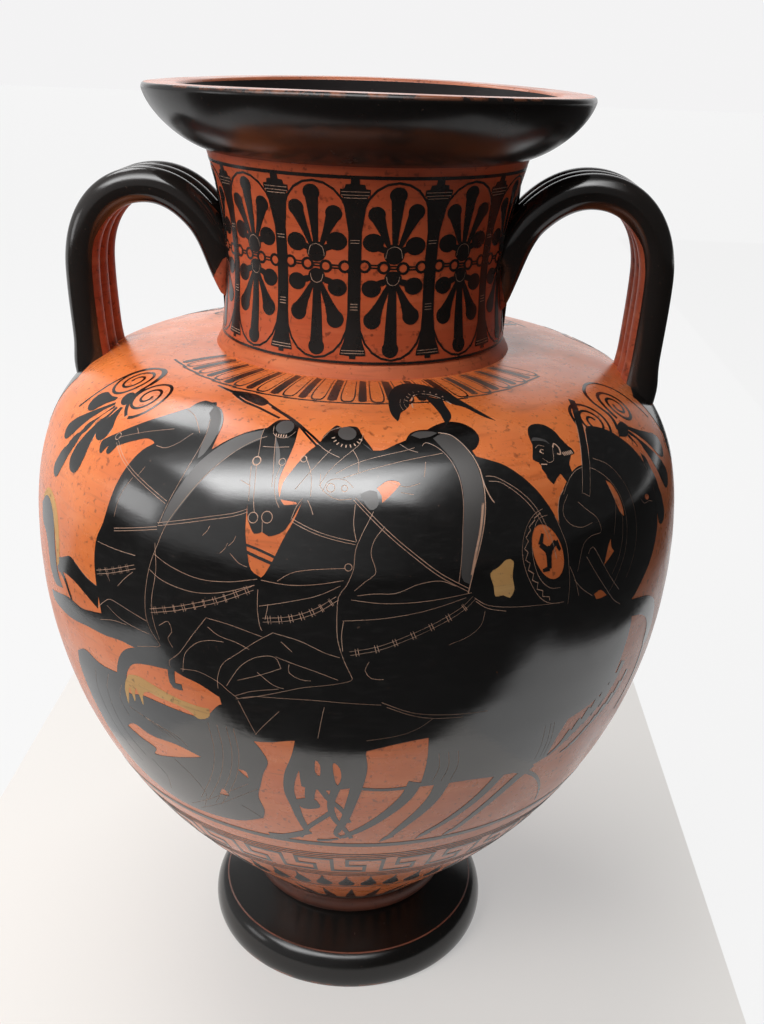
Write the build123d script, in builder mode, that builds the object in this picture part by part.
from build123d import *

import os

# Neck-amphora with triple-coil handles, built from the pieces a potter throws, rolls and joins.
# Frame: millimetres, +Z up, origin at the centre of the foot's resting face. The handles stand
# along +X and -X, and the front of the vase faces -Y.

# Driving dimensions: the thrown pieces
HEIGHT = 420.0            # floor to rim
BODY_RADIUS = 146.0       # widest part of the belly
BODY_WIDEST_Z = 229.0     # height of the widest part
WALL = 6.0                # thrown wall of the body
FOOT_RADIUS = 72.0        # widest part of the foot disc
FOOT_EDGE_Z = 17.6        # height of the foot's rounded edge, up to its groove
FOOT_HOLLOW_Z = 16.0      # depth of the hollow under the foot
FOOT_HOLLOW_RADIUS = 26.0 # radius of the hollow's flat middle
FOOT_TOP_Z = 28.0         # top of the foot, where the body sits
BASE_Z = 38.0             # top of the ring that covers the foot joint
BASE_RADIUS = 50.0        # body just above that ring
STEM_RADIUS = 46.0        # short stem of the body inside the foot ring
BODY_FLOOR = 9.0          # thickness of the body's floor above the base ring
SHOULDER_Z = 312.0        # top of the shoulder, where the neck stands
SHOULDER_RADIUS = 64.0    # outer edge of the shoulder at the neck
NECK_RADIUS = 62.5        # outer radius of the neck at its base
NECK_BORE = 55.0          # inner radius of the neck at its base
NECK_RING_HEIGHT = 5.5    # raised fillet round the neck joint
NECK_RING_RADIUS = 66.8   # outer radius of that fillet
NECK_TOP_Z = 394.0        # where the neck ends and the mouth begins
NECK_TOP_RADIUS = 68.2    # outer radius there
NECK_TOP_BORE = 59.0      # inner radius there
RIM_RADIUS = 93.2         # outer radius of the mouth
RIM_BORE = 79.0           # inner radius of the mouth at its top
RIM_EDGE = 2.0            # height of the rounded rim edge

# Driving dimensions: the handles
COIL_PITCH = 12.0         # spacing of the three coils of a handle, side by side
COIL_DEPTH = 14.4         # thickness of a coil from its outer to its inner face
COIL_WIDTH = 13.4         # width of a coil before its neighbours flatten its sides
ROOT_RADIUS = 57.0        # start of a coil's centre line, inside the neck wall
ROOT_Z = 345.0            # height of that start
ARCH_RADIUS = 94.0        # top of the arch, from the axis
ARCH_Z = 379.4            # height of the arch's centre line
OUTER_RADIUS = 123.2      # outermost point of the centre line
OUTER_Z = 343.0           # height of that point
END_RADIUS = 121.0        # lower end of the centre line, inside the shoulder
END_Z = 286.0             # height of that end

os.makedirs("parts", exist_ok=True)


def lathe(outline):
    """Add the solid of revolution whose half outline lies in the XZ plane to the open part."""
    with BuildSketch(Plane.XZ) as half:
        with BuildLine():
            outline()
        make_face()
    revolve(half.sketch, axis=Axis.Z)


def body_profile():
    """Outer face of the body, from the base ring over the belly to the neck."""
    Bezier(
        (BASE_RADIUS, BASE_Z),
        (BASE_RADIUS + 26.0, BASE_Z + 31.0),
        (BODY_RADIUS, BODY_WIDEST_Z - 105.0),
        (BODY_RADIUS, BODY_WIDEST_Z),
    )
    Bezier(
        (BODY_RADIUS, BODY_WIDEST_Z),
        (BODY_RADIUS, BODY_WIDEST_Z + 74.0),
        (SHOULDER_RADIUS + 50.0, SHOULDER_Z),
        (SHOULDER_RADIUS, SHOULDER_Z),
    )


def neck_profile():
    """Outer face of the neck: straight inside its fillet, then hollow, then flared to the mouth."""
    straight_z = SHOULDER_Z + NECK_RING_HEIGHT
    Line((NECK_RADIUS, SHOULDER_Z), (NECK_RADIUS, straight_z))
    Bezier(
        (NECK_RADIUS, straight_z),
        (NECK_RADIUS - 2.8, straight_z + 22.5),
        (NECK_RADIUS - 4.0, NECK_TOP_Z - 32.0),
        (NECK_TOP_RADIUS, NECK_TOP_Z),
    )


def foot_outline():
    """Disc foot: a rounded edge over a resting ring, a groove, a sloping top and a hollow."""
    rest_outer = FOOT_RADIUS - 1.0
    rest_inner = FOOT_RADIUS - 18.0
    groove_radius = FOOT_RADIUS - 6.2
    lip_radius = groove_radius - 1.0
    lip_z = FOOT_EDGE_Z + 0.4
    seat_radius = STEM_RADIUS + 1.5
    Polyline(
        (0, FOOT_TOP_Z),
        (0, FOOT_HOLLOW_Z),
        (FOOT_HOLLOW_RADIUS, FOOT_HOLLOW_Z),
        (rest_inner, 0),
        (rest_outer, 0),
    )
    Bezier((rest_outer, 0), (FOOT_RADIUS + 0.8, 4.0), (FOOT_RADIUS + 0.6, 14.0), (groove_radius, FOOT_EDGE_Z))
    Line((groove_radius, FOOT_EDGE_Z), (lip_radius, lip_z))
    Bezier(
        (lip_radius, lip_z),
        (lip_radius - 5.0, lip_z + 2.6),
        (seat_radius + 5.0, FOOT_TOP_Z - 2.8),
        (seat_radius, FOOT_TOP_Z),
    )
    Line((seat_radius, FOOT_TOP_Z), (0, FOOT_TOP_Z))


def foot_ring_outline():
    """Clay ring pressed round the joint of body and foot, with a rounded outer face."""
    bulge = BASE_RADIUS + 2.6
    seat_radius = STEM_RADIUS + 1.5
    Polyline(
        (seat_radius, FOOT_TOP_Z),
        (STEM_RADIUS, FOOT_TOP_Z),
        (STEM_RADIUS, BASE_Z),
        (BASE_RADIUS, BASE_Z),
    )
    Bezier((BASE_RADIUS, BASE_Z), (bulge, BASE_Z - 0.5), (bulge, FOOT_TOP_Z + 2.0), (seat_radius, FOOT_TOP_Z))


def body_outline():
    """Ovoid body: nearly conical above the foot, full belly, broad flat shoulder, open at the neck."""
    inner_radius = BODY_RADIUS - WALL
    inner_top = SHOULDER_Z - WALL
    floor_z = BASE_Z + BODY_FLOOR
    floor_radius = BASE_RADIUS - 8.0
    Polyline(
        (0, floor_z),
        (0, FOOT_TOP_Z),
        (STEM_RADIUS, FOOT_TOP_Z),
        (STEM_RADIUS, BASE_Z),
        (BASE_RADIUS, BASE_Z),
    )
    body_profile()
    Polyline((SHOULDER_RADIUS, SHOULDER_Z), (NECK_BORE, SHOULDER_Z), (NECK_BORE, inner_top))
    Bezier(
        (NECK_BORE, inner_top),
        (NECK_BORE + 54.0, inner_top),
        (inner_radius, BODY_WIDEST_Z + 71.0),
        (inner_radius, BODY_WIDEST_Z),
    )
    Bezier(
        (inner_radius, BODY_WIDEST_Z),
        (inner_radius, BODY_WIDEST_Z - 101.0),
        (floor_radius + 30.0, floor_z + 29.0),
        (floor_radius, floor_z + 3.0),
    )
    Line((floor_radius, floor_z + 3.0), (0, floor_z))


def neck_ring_outline():
    """Raised fillet round the foot of the neck."""
    top_z = SHOULDER_Z + NECK_RING_HEIGHT
    Polyline((SHOULDER_RADIUS, SHOULDER_Z), (NECK_RADIUS, SHOULDER_Z), (NECK_RADIUS, top_z))
    Bezier(
        (NECK_RADIUS, top_z),
        (NECK_RING_RADIUS + 0.6, top_z - 0.4),
        (NECK_RING_RADIUS + 0.9, SHOULDER_Z + 0.8),
        (SHOULDER_RADIUS, SHOULDER_Z),
    )


def neck_outline():
    """Hollow-sided neck that flares up to the mouth."""
    Line((NECK_BORE, SHOULDER_Z), (NECK_RADIUS, SHOULDER_Z))
    neck_profile()
    Line((NECK_TOP_RADIUS, NECK_TOP_Z), (NECK_TOP_BORE, NECK_TOP_Z))
    Bezier(
        (NECK_TOP_BORE, NECK_TOP_Z),
        (NECK_BORE - 3.5, NECK_TOP_Z - 32.0),
        (NECK_BORE - 2.5, SHOULDER_Z + 26.0),
        (NECK_BORE, SHOULDER_Z),
    )


def mouth_outline():
    """Echinus mouth: a swelling outer face under a flat rim, open in the middle."""
    edge_z = HEIGHT - RIM_EDGE
    flat_outer = RIM_RADIUS - RIM_EDGE
    flat_inner = RIM_BORE + 1.0
    Line((NECK_TOP_BORE, NECK_TOP_Z), (NECK_TOP_RADIUS, NECK_TOP_Z))
    Bezier(
        (NECK_TOP_RADIUS, NECK_TOP_Z),
        (NECK_TOP_RADIUS + 11.8, NECK_TOP_Z + 3.5),
        (RIM_RADIUS - 2.0, edge_z - 10.0),
        (RIM_RADIUS, edge_z),
    )
    Bezier((RIM_RADIUS, edge_z), (RIM_RADIUS, HEIGHT - 0.6), (RIM_RADIUS - 0.9, HEIGHT), (flat_outer, HEIGHT))
    Line((flat_outer, HEIGHT), (flat_inner, HEIGHT))
    Bezier(
        (flat_inner, HEIGHT),
        (RIM_BORE - 3.0, HEIGHT - 4.0),
        (NECK_TOP_BORE + 4.0, NECK_TOP_Z + 9.0),
        (NECK_TOP_BORE, NECK_TOP_Z),
    )


def backing_outline():
    """The filled-in body and neck that the coils of a handle are pressed against."""
    Line((0, BASE_Z), (BASE_RADIUS, BASE_Z))
    body_profile()
    Line((SHOULDER_RADIUS, SHOULDER_Z), (NECK_RADIUS, SHOULDER_Z))
    neck_profile()
    Polyline((NECK_TOP_RADIUS, NECK_TOP_Z), (0, NECK_TOP_Z), (0, BASE_Z))


OUTLINES = {
    "foot": foot_outline,
    "foot_ring": foot_ring_outline,
    "body": body_outline,
    "neck_ring": neck_ring_outline,
    "neck": neck_outline,
    "mouth": mouth_outline,
}

for name, outline in OUTLINES.items():
    with BuildPart() as piece:
        lathe(outline)
    piece.part.label = name
    export_step(piece.part, f"parts/{name}.step")

# A coil is cut cleanly where it meets the outer face of the neck, the shoulder or the fillet
with BuildPart() as backing:
    lathe(backing_outline)


def handle_route(side, reach, lift):
    """Centre line of a handle's coils in the XZ plane: up from the neck, over, and down."""
    arch_z = ARCH_Z + lift
    arch_x = side * (ARCH_RADIUS + reach)
    outer_x = side * (OUTER_RADIUS + reach)
    end_x = side * (END_RADIUS + reach)
    start = (side * ROOT_RADIUS, 0, ROOT_Z + lift)
    top = (arch_x, 0, arch_z)
    outer = (outer_x, 0, OUTER_Z + lift)
    end = (end_x, 0, END_Z)
    with BuildLine() as route:
        Bezier(start, (start[0] + side * 8.0, 0, start[2] + 20.0), (arch_x - side * 16.0, 0, arch_z), top)
        Bezier(top, (arch_x + side * 18.5, 0, arch_z), (outer_x, 0, OUTER_Z + 21.0 + lift), outer)
        Bezier(outer, (outer_x, 0, OUTER_Z - 18.0 + lift), (end_x, 0, END_Z + 22.0), end)
    return route


# Each handle is three rolled coils side by side. The two handles differ by a hair, as hand
# work does: reach is how far out the arch stands, and lift is how high.
HANDLES = {"left": (-1, -1.2, -2.0), "right": (1, 1.2, 2.5)}
COILS = {"front": -1, "middle": 0, "back": 1}

for handle, (side, reach, lift) in HANDLES.items():
    route = handle_route(side, reach, lift)
    for coil, place in COILS.items():
        with BuildPart() as piece:
            with BuildLine():
                add(route.line.moved(Location((0, place * COIL_PITCH, 0))))
            start_plane = Plane(
                origin=route.line @ 0 + Vector(0, place * COIL_PITCH, 0),
                x_dir=(0, 1, 0),
                z_dir=route.line % 0,
            )
            with BuildSketch(start_plane):
                Ellipse(COIL_WIDTH / 2, COIL_DEPTH / 2)
                Rectangle(COIL_PITCH, COIL_DEPTH + 2.0, mode=Mode.INTERSECT)
            sweep()
            add(backing.part, mode=Mode.SUBTRACT)
        label = f"handle_{handle}_{coil}_coil"
        piece.part.label = label
        export_step(piece.part, f"parts/{label}.step")
